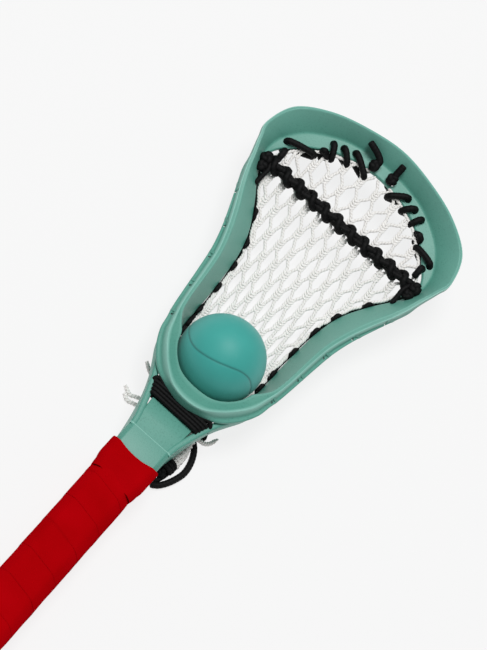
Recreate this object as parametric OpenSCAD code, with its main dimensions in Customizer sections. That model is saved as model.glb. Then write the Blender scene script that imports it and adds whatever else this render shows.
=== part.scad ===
// Lacrosse stick with a soft mesh pocket and a ball, lying face up on a flat surface.
// +Y runs from the butt to the scoop, +Z is up, and all lengths are in millimetres.

/* [Stick] */
// Overall length from the butt cap to the tip of the scoop
stick_length = 1040; // [950:5:1180]
// Width of the eight-sided shaft, across the stick
shaft_w = 31; // [29:0.5:31.5]
// Height of the eight-sided shaft
shaft_h = 27; // [25:0.5:27.5]
// Wall of the shaft
shaft_wall = 1.6; // [1.2:0.1:2.5]
// Height of the shaft's axis above the surface
axis_z = 20; // [19:0.5:22]

/* [Head] */
// Wall of the socket that takes the shaft
socket_wall = 2.4; // [2:0.1:2.6]
// Length of the socket under the tape
socket_under_tape = 13; // [12:1:30]
// Thickness of the flange that the mesh is tied to
flange_t = 3.4; // [3:0.1:4]
// Sidewall thickness at its foot
foot_w = 6; // [5:0.5:7]

/* [Grip] */
// Thickness of the wound tape on the shaft
tape_t = 3; // [2:0.1:3.2]
// Thickness of the last turn, over the socket
turn_t = 2.4; // [1.5:0.1:2.6]

/* [Strings and ball] */
// Ball diameter
ball_d = 63; // [62:0.5:63]
// Black lacing string diameter
string_d = 4.4; // [3.6:0.2:4.6]
// Thickness of the knitted mesh
mesh_t = 1.8; // [1.4:0.1:2]

/* [Hidden] */

MINT = [0.42, 0.66, 0.60];
RED = [0.70, 0.02, 0.05];
BLACK = [0.05, 0.05, 0.05];
WHITE = [0.92, 0.91, 0.88];

// Everything is drawn with y = 0 at the tape's edge, then moved so that the box is centred.
scoop_tip_y = 315.6;
butt_y = scoop_tip_y - stick_length;
centre_y = (scoop_tip_y + butt_y) / 2;
ball_y = 102;
ball_r = ball_d / 2;
ball_z = 4 + ball_r;
plug_in = 18;
loft_steps = 4;

// Key lines of the right half of the head, from the ball stop to the middle of the scoop.
// Each row: foot (x, y, z) where the mesh meets the plastic, inner corner of the flange,
// top inner edge, top outer edge, outer lip, and the height of the underside.
HEAD = [
  [[0, 73.5, 7.6], [0, 72.5, 12], [0, 69.2, 41], [0, 54, 46], [0, 52.8, 37.5], 5],
  [[9.6, 75.2, 7.6], [9.8, 74.2, 12], [13.2, 71, 41], [13, 56.6, 46], [13.6, 55.2, 37.5], 5],
  [[18, 80.6, 7.8], [18.6, 79.8, 12], [22.6, 77.2, 41.2], [24, 65, 45.6], [27.8, 62, 37.2], 5],
  [[24, 89.2, 8], [24.8, 88.6, 12.4], [29.3, 85.8, 41.6], [33.6, 76.4, 45], [38.6, 74, 37.2], 4.8],
  [[29, 97, 8.6], [29.6, 96.6, 13], [32.7, 94.6, 41.8], [39.6, 86.6, 44], [45, 87, 37], 3.6],
  [[32.4, 103, 9.4], [32.8, 103, 14], [37, 100, 42], [42.6, 97, 43.4], [47.2, 98.6, 36.4], 1.4],
  [[34.2, 110, 10], [34.6, 110, 14.5], [41.6, 107.5, 42.2], [44.9, 107, 42.8], [49.1, 108, 36], 0],
  [[35, 122, 11], [35.4, 122, 15], [44.2, 121, 41.6], [47.1, 122, 41.6], [51, 123, 35.6], 0],
  [[35.4, 145, 12], [35.8, 145, 16], [46.2, 144, 41], [49.3, 144, 40.8], [53.5, 145, 35], 0],
  [[36.6, 165, 13], [37, 165, 17], [48.6, 163, 40.4], [51.9, 163, 40.2], [56.3, 165, 34.4], 0],
  [[38.6, 184, 14], [39.2, 184, 18], [53.4, 181, 40], [56.7, 180, 39.8], [61.1, 184, 34], 1],
  [[43.8, 203, 16], [44.6, 203, 20], [60.2, 199, 40.6], [63.7, 198, 40.4], [67.7, 203, 34], 4],
  [[54.6, 222, 20.5], [55.6, 222, 24], [67.8, 215, 42], [70.9, 214, 41.8], [73.5, 218, 35], 9],
  [[65, 236, 25.5], [66, 236.5, 28], [73, 227, 44], [75.7, 226, 43.8], [77.5, 228, 37], 15],
  [[72, 249, 30.5], [73.4, 250, 31.5], [76.8, 238, 46], [79.1, 237, 45.8], [79.7, 238, 40], 22],
  [[69.4, 258.5, 33], [74.2, 260, 33.6], [81.6, 251, 48.4], [83.6, 250.4, 48], [83.9, 251, 44], 28],
  [[63.9, 266, 34.4], [70.8, 271, 35.4], [84.6, 263, 50.4], [86.4, 263, 50], [86.5, 263.4, 46], 31],
  [[54, 276.4, 35.6], [60.8, 284.6, 36.8], [77, 284, 52.4], [78.9, 285.4, 52], [78.7, 285.2, 48], 32],
  [[40, 286, 36.8], [44.9, 295.8, 38], [56.3, 299.6, 54.2], [57.4, 301.2, 53.8], [57.2, 301, 50], 33.4],
  [[24, 292.6, 38], [27.6, 302.6, 39], [30, 309, 55], [30.4, 310.8, 54.6], [30.2, 310.6, 51], 34.6],
  [[0, 295.5, 39], [0, 305.3, 40], [0, 313.8, 55.4], [0, 315.6, 55], [0, 315.4, 51.4], 35.6]];

// ---- curves and sweeps ----
function unit(v) = v / max(norm(v), 0.000001);
function bend4(a, b, c, d, t) =
  0.5 * (2 * b + (c - a) * t + (2 * a - 5 * b + 4 * c - d) * t * t
         + (3 * b - a - 3 * c + d) * t * t * t);
// A smooth line through points p, with k steps between neighbours.
function smooth(p, k) = let (n = len(p))
  [for (i = [0:n - 2]) for (j = [0:k - 1])
     bend4(p[max(i - 1, 0)], p[i], p[i + 1], p[min(i + 2, n - 1)], j / k), p[n - 1]];
function tangent(p, i) = unit(p[min(i + 1, len(p) - 1)] - p[max(i - 1, 0)]);
function square_to(n, t) = unit(n - (n * t) * t);
function first_normal(t) = square_to(abs(t[2]) < 0.9 ? [0, 0, 1] : [1, 0, 0], t);
function normals(p) =
  [for (i = 0, n = first_normal(tangent(p, 0)); i < len(p);
        i = i + 1, n = i < len(p) ? square_to(n, tangent(p, i)) : n) n];

// A round tube of diameter d swept along the points p, one closed polyhedron.
module tube(p, d, sides = 8) {
  n = normals(p);
  rings = [for (i = [0:len(p) - 1]) let (t = tangent(p, i), b = cross(t, n[i]))
             for (s = [0:sides - 1]) let (a = 360 * s / sides)
               p[i] + d / 2 * (cos(a) * n[i] + sin(a) * b)];
  last = (len(p) - 1) * sides;
  walls = [for (i = [0:len(p) - 2]) for (s = [0:sides - 1]) let (e = (s + 1) % sides)
             each [[i * sides + s, (i + 1) * sides + s, (i + 1) * sides + e],
                   [i * sides + s, (i + 1) * sides + e, i * sides + e]]];
  polyhedron(rings, concat(walls, [[for (s = [0:sides - 1]) s]],
                           [[for (s = [sides - 1:-1:0]) last + s]]));
}

// A closed grid of points: rows[i][j], round in i where ring is true, and round in j.
module skin(rows, ring = false) {
  n = len(rows);
  m = len(rows[0]);
  walls = [for (i = [0:n - (ring ? 1 : 2)]) for (j = [0:m - 1])
             let (a = i * m + j, b = i * m + (j + 1) % m,
                  c = ((i + 1) % n) * m + (j + 1) % m, d = ((i + 1) % n) * m + j)
               each [[a, c, b], [a, d, c]]];
  ends = ring ? [] : [[for (j = [0:m - 1]) j], [for (j = [m - 1:-1:0]) (n - 1) * m + j]];
  polyhedron([for (r = rows) each r], concat(walls, ends));
}

// ---- the head ----
function flip(p) = [-p[0], p[1], p[2]];
// A smooth line that meets its mirror image squarely at both ends.
function smooth_half(p, k) = let (n = len(p))
  [for (i = [0:n - 2]) for (j = [0:k - 1])
     bend4(i == 0 ? flip(p[1]) : p[i - 1], p[i], p[i + 1],
           i == n - 2 ? flip(p[n - 2]) : p[i + 2], j / k), p[n - 1]];
function line_of(k) = smooth_half([for (r = HEAD) r[k]], loft_steps);
FOOT = line_of(0);
CORNER = line_of(1);
INNER = line_of(2);
OUTER = line_of(3);
LIP = line_of(4);
UNDER = [for (u = smooth([for (r = HEAD) r[5]], loft_steps)) max(0, u)];
STATIONS = len(FOOT);

// Horizontal direction away from the pocket at station i.
function outward(i) = let (t = FOOT[min(i + 1, STATIONS - 1)] - FOOT[max(i - 1, 0)])
  unit([t[1], -t[0], 0]);
function at_height(p, z) = [p[0], p[1], z];

// Depth of the groove between the rail and the lip, none where they meet at the ball stop.
function groove(i) = let (d = LIP[i] - OUTER[i])
  2.2 * min(1, max(0, (norm([d[0], d[1]]) - 2) / 3));

// One section of the head, from the inner foot over the top to the outer foot.
function section(i) = let (
    o = i == 0 ? [0, -1, 0] : i == STATIONS - 1 ? [0, 1, 0] : outward(i),
    f = FOOT[i], c = CORNER[i], u = UNDER[i], lip = LIP[i])
  [at_height(f, max(u, f[2] - flange_t)), f, c, INNER[i], (INNER[i] + OUTER[i]) / 2 - [0, 0, 0.4],
   OUTER[i], OUTER[i] * 0.6 + lip * 0.4 - [0, 0, groove(i)], lip + [0, 0, 1.2], lip - [0, 0, 1.2],
   (INNER[i] * 0.75 + f * 0.25) + o * 4.4 - [0, 0, 1],
   (c + o * (foot_w - 1)), at_height(c + o * foot_w, u)];

module rim() {
  right = [for (i = [0:STATIONS - 1]) section(i)];
  left = [for (i = [STATIONS - 2:-1:1]) [for (p = section(i)) flip(p)]];
  skin(concat(right, left), true);
}

module post(p, w) {
  translate([p[0], p[1], p[2]]) cylinder(d = w, h = arm_top - p[2], $fn = 16);
}

// Side arms from the socket to the ball stop: middle of the arm, and height of its underside.
ARM = [[15.7, 19, 4], [16.6, 26, 6], [18.6, 34, 16], [22.4, 47, 24], [27, 60, 25],
       [32.4, 71, 25], [37.4, 81, 24], [40.2, 88, 26]];
arm_w = 4.6;
arm_top = 35;
module arms() {
  for (s = [-1, 1], i = [0:len(ARM) - 2])
    hull() {
      post([s * ARM[i][0], ARM[i][1], ARM[i][2]], arm_w);
      post([s * ARM[i + 1][0], ARM[i + 1][1], ARM[i + 1][2]], arm_w);
    }
}

// Keel under the throat, from the socket to the foot of the ball stop.
module keel() {
  hull() {
    translate([-15.5, 18, 4]) cube([31, 6, 4]);
    translate([-12, 60, 6]) cube([24, 20, 4]);
  }
  for (s = [-1, 1])
    hull() {
      translate([s * 12.5 - 1.4, 18, 6]) cube([2.8, 4, 22]);
      translate([s * 10 - 1.4, 44, 7]) cube([2.8, 4, 12]);
      translate([s * 10 - 1.4, 66, 7]) cube([2.8, 4, 8]);
    }
}

module eight_sided(w, h, corner) {
  polygon([[-w / 2 + corner, -h / 2], [w / 2 - corner, -h / 2], [w / 2, -h / 2 + corner],
           [w / 2, h / 2 - corner], [w / 2 - corner, h / 2], [-w / 2 + corner, h / 2],
           [-w / 2, h / 2 - corner], [-w / 2, -h / 2 + corner]]);
}

// A length of eight-sided bar along Y, between y1 and y2.
module along(y1, y2, w, h, corner) {
  translate([0, y1, axis_z]) rotate([-90, 0, 0]) mirror([0, 1, 0])
    linear_extrude(y2 - y1) eight_sided(w, h, corner);
}

socket_w = shaft_w + 2 * socket_wall + 0.2;
socket_h = shaft_h + 2 * socket_wall + 0.2;
bore_w = shaft_w + 0.2;
bore_h = shaft_h + 0.2;
socket_corner = 3;
socket_end = 20;

module socket() {
  difference() {
    along(-socket_under_tape, socket_end, socket_w, socket_h, socket_corner);
    along(-socket_under_tape - 1, plug_in + 0.1, bore_w, bore_h, 7);
  }
}

// Tongue over the throat, a little lower than the socket that it runs on from.
module tongue() {
  top = axis_z + socket_h / 2 - 1.4;
  hull() {
    translate([-16.2, socket_end - 1, top - 3]) cube([32.4, 1, 3]);
    translate([-17.6, 44.6, top - 3]) cube([35.2, 1, 3]);
  }
}

// The places where the mesh's string goes through the plastic.
function key_at(line, t) = line[round(t * loft_steps)];
FLANGE_HOLE = [[67, 270], [41, 292], [33, 294.8], [24.4, 297.8], [8, 299]];

module holes() {
  for (s = [-1, 1]) {
    for (h = FLANGE_HOLE)
      translate([s * h[0], h[1], 28]) cylinder(d = string_d + 0.6, h = 16, $fn = 16);
    for (k = [5.5, 7.2, 8.6, 9.8, 10.9, 11.9, 13])
      translate([s * (key_at(FOOT, k)[0] + 3), key_at(FOOT, k)[1], key_at(FOOT, k)[2] - 2.2])
        rotate([0, 90, 0]) cylinder(d = 3.6, h = 12, center = true, $fn = 16);
    translate([s * 26, 53, 30.4]) rotate([0, 90, 0])
      cylinder(d = 8, h = 14, center = true, $fn = 20);
  }
}

module head_frame() {
  color(MINT) translate([0, -centre_y, 0])
    difference() {
      union() {
        rim();
        arms();
        keel();
        socket();
        tongue();
      }
      holes();
      translate([0, 9, -1]) cylinder(d = 4.2, h = 12, $fn = 24);
    }
}

// ---- shaft, tape, cap and screw ----
module shaft() {
  color("silver") translate([0, -centre_y, 0])
    difference() {
      along(butt_y + 2.5, plug_in, shaft_w, shaft_h, 7);
      along(butt_y, plug_in + 1, shaft_w - 2 * shaft_wall, shaft_h - 2 * shaft_wall, 6.4);
      translate([0, 9, -1]) cylinder(d = 3.2, h = 12, $fn = 24);
    }
}

cap_length = 42;
tape_low = butt_y + cap_length;
module grip_tape() {
  wound_w = shaft_w + 2 * tape_t;
  wound_h = shaft_h + 2 * tape_t;
  turn_w = socket_w + 2 * turn_t;
  turn_h = socket_h + 2 * turn_t;
  color(RED) translate([0, -centre_y, 0])
    difference() {
      union() {
        along(tape_low, 0, wound_w, wound_h, 6);
        along(-socket_under_tape - 1.6, 2, turn_w, turn_h, 6);
      }
      along(tape_low - 1, 3, shaft_w, shaft_h, 7);
      along(-socket_under_tape, 3, socket_w, socket_h, socket_corner);
    }
}

module butt_cap() {
  color([0.08, 0.08, 0.08]) translate([0, -centre_y, 0])
    difference() {
      translate([0, butt_y, axis_z]) rotate([-90, 0, 0])
        rotate_extrude($fn = 64)
          polygon([[0, 0], [16, 0], [18.6, 1.1], [axis_z, 3.6], [axis_z, 34],
                   [19, cap_length], [0, cap_length]]);
      along(butt_y + 2.5, butt_y + cap_length + 1, shaft_w, shaft_h, 7);
    }
}

module head_screw() {
  color("dimgray") translate([0, 9 - centre_y, 0]) {
    translate([0, 0, axis_z - socket_h / 2 - 1.6]) cylinder(d = 7, h = 1.6, $fn = 32);
    translate([0, 0, axis_z - socket_h / 2 - 0.01]) cylinder(d = 3.2, h = 6, $fn = 24);
  }
}

// ---- mesh ----
// Half width, height of the edge and height of the middle of the mesh along the head.
MESH = [[64, 14, 4.2, 3.8], [72, 17, 4.2, 3.2], [80, 20, 4.2, 2.6], [88, 23, 4.4, 2.3],
        [96, 27, 5.4, 2.2], [103, 31, 7.8, 2.2], [111, 33, 9.4, 2.4], [124, 34, 10.4, 3],
        [145, 34.2, 11.4, 5], [165, 35.4, 12.4, 8.4],
        [184, 37.4, 13.6, 12], [203, 42.2, 15.6, 15.6], [222, 52.8, 20, 19.6],
        [236, 63, 25, 23.6], [248, 70, 29.6, 27.6], [258, 66.6, 32.6, 30.4],
        [266, 61.6, 34.2, 32.4], [276, 52, 35.4, 34.6], [285, 39.4, 36.6, 36], [292, 22, 38, 37.6]];
mesh_columns = 12;
function mesh_top(r, x) = r[3] + (r[2] - r[3]) * pow(abs(x) / r[1], 2);
function mesh_row(r) =
  concat([for (i = [0:mesh_columns]) let (x = r[1] * (2 * i / mesh_columns - 1))
            [x, r[0], mesh_top(r, x)]],
         [for (i = [mesh_columns:-1:0]) let (x = r[1] * (2 * i / mesh_columns - 1))
            [x, r[0], mesh_top(r, x) - mesh_t]]);

module mesh_pocket() {
  color(WHITE) translate([0, -centre_y, 0]) skin([for (r = smooth(MESH, 2)) mesh_row(r)]);
}

module mesh_surplus() {
  color(WHITE) translate([0, -centre_y, 0])
    tube(smooth([[19, 62, 4.4], [21, 52, 4.2], [22.4, 42, 4.2], [22.6, 32, 4.2]], 4), 8, 10);
}

// ---- strings ----
// Zigzag of the top string between the flange (outer) and the mesh (inner), above both.
TOP = [[-63, 254, 35], [-62.6, 258, 36.4], [-67, 267, 38.4], [-60, 266, 38.4], [-49, 270.4, 38.2],
       [-45, 281, 39.6], [-41, 288.4, 40.8], [-36, 276, 38.6], [-33.6, 291, 41.4],
       [-25, 279.4, 39.4], [-24.6, 293, 41.8], [-10, 285, 40.6], [-10.6, 298, 43.4]];
TOP_RIGHT = [[63.4, 255, 35.2], [62.4, 260, 36.6], [67, 268, 38.6], [57, 268, 38.4], [47, 270.8, 38.2],
             [42, 285.6, 40.4], [36, 275.4, 38.6], [32.6, 292, 41.4], [24, 281, 39.4],
             [22.6, 295, 42.2], [9.6, 284, 40.4], [6, 298, 43.4]];
// The two loose ends beyond their knots, lying on the scoop's wall.
END_LEFT = [[-10.6, 298, 43.4], [-12, 302, 45.2], [-18, 305, 48.6], [-24, 306.4, 51]];
END_RIGHT = [[6, 298, 43.4], [5.6, 302.6, 46.4], [5.2, 306, 50], [4.8, 308.6, 53.4]];

module top_string() {
  color(BLACK) translate([0, -centre_y, 0]) {
    tube(smooth(TOP, 2), string_d);
    tube(smooth(TOP_RIGHT, 2), string_d);
    tube(smooth(END_LEFT, 2), string_d);
    tube(smooth(END_RIGHT, 2), string_d);
    for (k = [END_LEFT[0], END_RIGHT[0]]) translate(k) sphere(d = 9, $fn = 20);
  }
}

// The string that ties the mesh's edge to a sidewall, weaving along the foot.
side_d = 3;
function side_route(s) =
  [for (i = [20:2:56]) let (f = FOOT[i], o = outward(i), wave = (i / 2) % 2 == 0 ? 1 : -1)
     [s * (f[0] - o[0] * 1.6), f[1] - o[1] * 1.6, f[2] + 0.6 + wave * 1.2]];

module sidewall_string_left() {
  color(BLACK) translate([0, -centre_y, 0]) tube(smooth(side_route(-1), 2), side_d);
}

module sidewall_string_right() {
  color(BLACK) translate([0, -centre_y, 0]) tube(smooth(side_route(1), 2), side_d);
}

// Shooting string across the mesh, one strand straight and one wound round it.
shoot_y = 249;
shoot_d = 5;
shoot_waves = 12;
shoot_half = 70;
function shoot_z(x) = 31.6 + 2 * pow(abs(x) / shoot_half, 2);
SHOOT_CORE = [for (i = [-6:6]) let (x = shoot_half * i / 6) [x, shoot_y, shoot_z(x)]];
SHOOT_WRAP = [for (i = [-shoot_waves:shoot_waves])
                let (x = 66 * i / shoot_waves, w = i % 2 == 0 ? 1 : -1)
                  [x, shoot_y + w * 3.4, shoot_z(x) + 1.2]];

module shooting_string() {
  color(BLACK) translate([0, -centre_y, 0]) {
    tube(SHOOT_CORE, shoot_d);
    tube(smooth(SHOOT_WRAP, 2), shoot_d);
  }
}

// Tied ends of the shooting string, round knots with a strand down to the sidewall.
module shooting_knots() {
  color(BLACK) translate([0, -centre_y, 0])
    for (s = [-1, 1]) {
      translate([s * 70, shoot_y - 1, 34.6]) sphere(d = 8, $fn = 20);
      translate([s * 69, shoot_y - 8, 33.6]) sphere(d = 7, $fn = 20);
      tube(smooth([[s * 63, 247, 33.6], [s * 64, 240, 32], [s * 63.4, 232.6, 29.6]], 3), 4);
    }
}

// Flat coil of the bottom string across the throat.
coil_turns = 4;
coil_pitch = 2.7;
coil_half = 22.6;
coil_d = 3;
function coil_point(a) = let (y = 45.4 + coil_pitch * a / 360, c = cos(a), s = sin(a))
  [coil_half * (abs(c) > 0.7 ? sign(c) * 1 : c / 0.7), y, 32.8 + 3.2 * (abs(s) > 0.7 ? sign(s) : s / 0.7)];

module bottom_string() {
  color(BLACK) translate([0, -centre_y, 0])
    tube(smooth([for (a = [0:45:360 * coil_turns]) coil_point(a)], 1), coil_d);
}

// Loose ends behind the throat. They lie on the surface under the head.
LOOP = [[23, 57.5, 2.5], [27.4, 53, 2.5], [30.6, 47, 2.5], [32.6, 40, 2.5], [33, 33, 2.5],
        [31.4, 26, 2.5], [28.6, 19, 2.5], [25, 13.4, 2.5], [20.6, 10, 2.5]];
STUB = [[3, 68.6, 2.3], [9, 71.6, 2.3], [15, 73, 2.3], [20.6, 72.2, 2.3], [25, 69.4, 2.3],
        [27, 65.6, 2.3], [26.9, 62.8, 2.3]];
TAIL_UPPER = [[-8, 70, 1.6], [-14, 73, 1.6], [-20, 75.6, 1.6], [-26, 75, 1.6], [-31, 76, 1.6],
              [-36, 79.6, 1.6]];
TAIL_MIDDLE = [[-7, 57, 1.6], [-12, 56, 1.6], [-17, 54.4, 1.6], [-22, 55.6, 1.6], [-26.6, 54, 1.6],
               [-31, 52.2, 1.6], [-36, 54.6, 1.6]];
TAIL_LOWER = [[-3, 51, 1.6], [-8, 50, 1.6], [-14, 49, 1.6], [-20, 50, 1.6], [-25, 48.8, 1.6],
              [-29.4, 47.6, 1.6], [-33, 49.4, 1.6]];
TAIL_RIGHT = [[14, 51, 1.6], [20, 55, 6.4], [25.4, 58.4, 6.6], [30, 61, 3.4], [33, 65, 1.6],
              [34.6, 70, 1.6]];
tail_d = 3;
loop_d = 5;

module bottom_string_loop() {
  color(BLACK) translate([0, -centre_y, 0]) tube(LOOP, loop_d);
}

module bottom_string_stub() {
  color(BLACK) translate([0, -centre_y, 0]) tube(smooth(STUB, 2), string_d);
}

module mesh_tail_upper() {
  color(WHITE) translate([0, -centre_y, 0]) tube(smooth(TAIL_UPPER, 2), tail_d);
}

module mesh_tail_middle() {
  color(WHITE) translate([0, -centre_y, 0]) tube(smooth(TAIL_MIDDLE, 2), tail_d);
}

module mesh_tail_lower() {
  color(WHITE) translate([0, -centre_y, 0]) tube(smooth(TAIL_LOWER, 2), tail_d);
}

module mesh_tail_right() {
  color(WHITE) translate([0, -centre_y, 0]) tube(smooth(TAIL_RIGHT, 2), tail_d);
}

module ball() {
  color([0.22, 0.58, 0.55]) translate([0, ball_y - centre_y, ball_z]) sphere(d = ball_d, $fn = 64);
}

head_frame();
shaft();
grip_tape();
butt_cap();
head_screw();
mesh_pocket();
mesh_surplus();
top_string();
sidewall_string_left();
sidewall_string_right();
shooting_string();
shooting_knots();
bottom_string();
bottom_string_loop();
bottom_string_stub();
mesh_tail_upper();
mesh_tail_middle();
mesh_tail_lower();
mesh_tail_right();
ball();
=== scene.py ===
import math
import random

import bpy
import numpy as np
from mathutils import Matrix, Vector, noise


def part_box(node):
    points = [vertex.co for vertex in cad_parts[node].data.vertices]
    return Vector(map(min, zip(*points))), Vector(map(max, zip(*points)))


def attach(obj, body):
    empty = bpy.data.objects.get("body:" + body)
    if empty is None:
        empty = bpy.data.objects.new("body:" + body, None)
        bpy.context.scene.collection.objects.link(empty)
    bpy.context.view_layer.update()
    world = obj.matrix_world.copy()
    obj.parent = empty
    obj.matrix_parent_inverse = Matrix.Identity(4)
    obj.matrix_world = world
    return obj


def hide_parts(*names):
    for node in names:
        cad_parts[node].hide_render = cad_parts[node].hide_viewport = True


# A lacrosse stick lying face up: moulded head, knitted net, black lacing, taped shaft and a ball.
# Lengths are in millimetres with y = 0 at the tape's edge, and place() puts them in the frame.
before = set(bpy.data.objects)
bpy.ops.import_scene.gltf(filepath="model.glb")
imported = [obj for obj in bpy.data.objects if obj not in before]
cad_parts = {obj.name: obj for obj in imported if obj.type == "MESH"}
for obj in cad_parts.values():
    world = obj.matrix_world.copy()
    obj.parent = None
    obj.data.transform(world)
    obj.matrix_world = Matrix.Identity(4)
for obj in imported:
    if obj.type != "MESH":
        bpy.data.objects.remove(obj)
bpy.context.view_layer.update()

MM = 0.001
SCOOP_TIP = 315.6
TAPE_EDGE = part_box("head_frame")[1].y / MM - SCOOP_TIP
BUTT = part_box("butt_cap")[0].y / MM - TAPE_EDGE
AXIS_Z = 20
BALL_LOW, BALL_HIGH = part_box("ball")
BALL_R = (BALL_HIGH.x - BALL_LOW.x) / 2 / MM
BALL_MIDDLE = Vector((0, (BALL_LOW.y + BALL_HIGH.y) / 2 / MM - TAPE_EDGE, BALL_LOW.z / MM + BALL_R))
TURN = 2 * math.pi


def place(p):
    """A point in the frame, in metres, from its millimetres on the stick."""
    return Vector((p[0], p[1] + TAPE_EDGE, p[2])) * MM


def add_object(name, data):
    holder = bpy.data.objects.new(name, data)
    bpy.context.scene.collection.objects.link(holder)
    return holder


# ---- camera ----
CAMERA_FAR = 3.2
CAMERA_RIGHT = Vector((0.74848, 0.57431, 0.33159))
CAMERA_UP = Vector((-0.66318, 0.64818, 0.37424))
CAMERA_BACK = Vector((0, -0.5, 0.866))
CAMERA_TARGET = Vector((-0.0039, 0.3396, 0.0334))
VIEW_HEIGHT = 0.4492


def add_camera():
    camera = bpy.data.cameras.new("camera")
    camera.sensor_fit = "VERTICAL"
    camera.angle = 2 * math.atan(VIEW_HEIGHT / 2 / CAMERA_FAR)
    camera.clip_end = 30
    turned = Matrix((CAMERA_RIGHT, CAMERA_UP, CAMERA_BACK)).transposed().to_4x4()
    turned.translation = CAMERA_TARGET + CAMERA_FAR * CAMERA_BACK
    holder = add_object("camera", camera)
    holder.matrix_world = turned
    bpy.context.scene.camera = holder


add_camera()


# ---- lines ----
def clamp(value):
    return min(max(value, 0), 1)


def bend(a, b, c, d, t):
    return 0.5 * (2 * b + (c - a) * t + (2 * a - 5 * b + 4 * c - d) * t * t
                  + (3 * b - a - 3 * c + d) * t ** 3)


def smooth(points, steps, before=None, after=None):
    """A smooth line through the points, with a few steps between neighbours."""
    points = [Vector(p) for p in points]
    first = points[0] if before is None else before
    last = points[-1] if after is None else after
    padded = [first] + points + [last]
    line = []
    for a, b, c, d in zip(padded, padded[1:], padded[2:], padded[3:]):
        line += [bend(a, b, c, d, s / steps) for s in range(steps)]
    return line + [points[-1]]


def even(line, step):
    """The same line with its points a step apart."""
    lengths = [0.0]
    for a, b in zip(line, line[1:]):
        lengths.append(lengths[-1] + (b - a).length)
    count = max(2, round(lengths[-1] / step))
    out, i = [], 0
    for k in range(count + 1):
        s = lengths[-1] * k / count
        while i < len(line) - 2 and lengths[i + 1] < s:
            i += 1
        part = (s - lengths[i]) / max(lengths[i + 1] - lengths[i], 1e-9)
        out.append(line[i].lerp(line[i + 1], min(part, 1)))
    return out


def sided(points, side):
    """The points on the right side, or mirrored on the left where side is -1."""
    return [Vector((side * p[0], p[1], p[2])) for p in points]


def line_length(line):
    return sum((b - a).length for a, b in zip(line, line[1:]))


def table(rows, y):
    """Values of a table at y, where each row starts with its own y."""
    if y <= rows[0][0]:
        return rows[0][1:]
    for low, high in zip(rows, rows[1:]):
        if y <= high[0]:
            t = (y - low[0]) / (high[0] - low[0])
            return [a + (b - a) * t for a, b in zip(low[1:], high[1:])]
    return rows[-1][1:]


# ---- meshes ----
class Shape:
    """Points and faces of one piece, gathered part by part, with a painted light value at each point: painted
    highlight on the head's edges, painted shade in hollows elsewhere.
    """

    def __init__(self):
        self.points, self.faces, self.painted_lights = [], [], []

    def add(self, points, faces, painted_lights=None):
        start = len(self.points)
        self.points += points
        self.faces += [tuple(start + i for i in face) for face in faces]
        self.painted_lights += painted_lights or [0.5] * len(points)

    def build(self, name, material, slot, node=None, body="stick", sharp=40):
        """Makes the piece, in place of the CAD node where one is given."""
        mesh = bpy.data.meshes.new(name)
        mesh.from_pydata([place(p) for p in self.points], [], self.faces)
        mesh.update()
        # Each point keeps its painted light value, which the materials use to paint highlight or shade into
        # the colour.
        painted_light = mesh.attributes.new("painted_light", "FLOAT", "POINT")
        painted_light.data.foreach_set("value", self.painted_lights)
        mesh.shade_smooth()
        mesh.set_sharp_from_angle(angle=math.radians(sharp))
        mesh.materials.append(material)
        piece = add_object(name, mesh)
        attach(piece, body)
        if node:
            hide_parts(node)
        return piece


def loft(shape, rings, round_trip=False, painted_lights=None):
    """Joins rings of points one after the other."""
    n, m = len(rings), len(rings[0])
    faces = []
    for i in range(n if round_trip else n - 1):
        k = (i + 1) % n
        for j in range(m):
            e = (j + 1) % m
            faces.append((i * m + j, i * m + e, k * m + e, k * m + j))
    if not round_trip:
        faces.append(tuple(range(m - 1, -1, -1)))
        faces.append(tuple((n - 1) * m + j for j in range(m)))
    shape.add([p for ring in rings for p in ring], faces, painted_lights)


def rounded(corners, steps=3):
    """A ring of points with each corner (point, radius) rounded off."""
    out = []
    n = len(corners)
    for i, (p, radius) in enumerate(corners):
        a, b = corners[i - 1][0] - p, corners[(i + 1) % n][0] - p
        start = p + a * min(radius / max(a.length, 1e-6), 0.45)
        end = p + b * min(radius / max(b.length, 1e-6), 0.45)
        for s in range(steps + 1):
            t = s / steps
            out.append(start * (1 - t) ** 2 + p * (2 * t * (1 - t)) + end * t * t)
    return out


def sweep(shape, line, radius, sides=16, flat=1.0, start=0.0):
    """A cord along a line. radius(angle, along) is its outline and its painted shade, and flat squeezes it.
    """
    count = len(line)
    normal = Vector((0, 0, 1))
    rings, painted_lights, along = [], [], start
    for i, p in enumerate(line):
        ahead = (line[min(i + 1, count - 1)] - line[max(i - 1, 0)]).normalized()
        normal = normal - ahead * normal.dot(ahead)
        if normal.length < 1e-3:
            normal = ahead.orthogonal()
        normal.normalize()
        side = ahead.cross(normal)
        if i:
            along += (p - line[i - 1]).length
        ends = min(i, count - 1 - i)
        close = (0.62, 0.9)[ends] if ends < 2 else 1.0
        ring = []
        for s in range(sides):
            angle = TURN * s / sides
            r, painted_light = radius(angle, along)
            r *= close
            ring.append(p + side * (math.cos(angle) * r) + normal * (math.sin(angle) * r * flat))
            painted_lights.append(painted_light)
        rings.append(ring)
    loft(shape, rings, painted_lights=painted_lights)


def braided(diameter, carriers=4, pitch=5.2, relief=0.05):
    """Outline of a braided string, bumped where its plaits cross, with painted shade in the dips between the
    plaits.
    """
    def radius(angle, along):
        turn = TURN * along / pitch
        plait = math.cos(carriers * angle + turn) * math.cos(carriers * angle - turn)
        return diameter / 2 * (1 - relief + relief * plait), 0.5 + 0.5 * plait
    return radius


def two_ply(diameter, pitch=4.6, waist=0.6):
    """Outline of a cord laid from two plies, with painted shade in the hollows between the plies."""
    def radius(angle, along):
        ply = abs(math.cos(angle - TURN * along / pitch))
        return diameter / 2 * (waist + (1 - waist) * ply ** 0.7), ply
    return radius


def plain(diameter):
    def radius(angle, along):
        return diameter / 2, 0.7
    return radius


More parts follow.
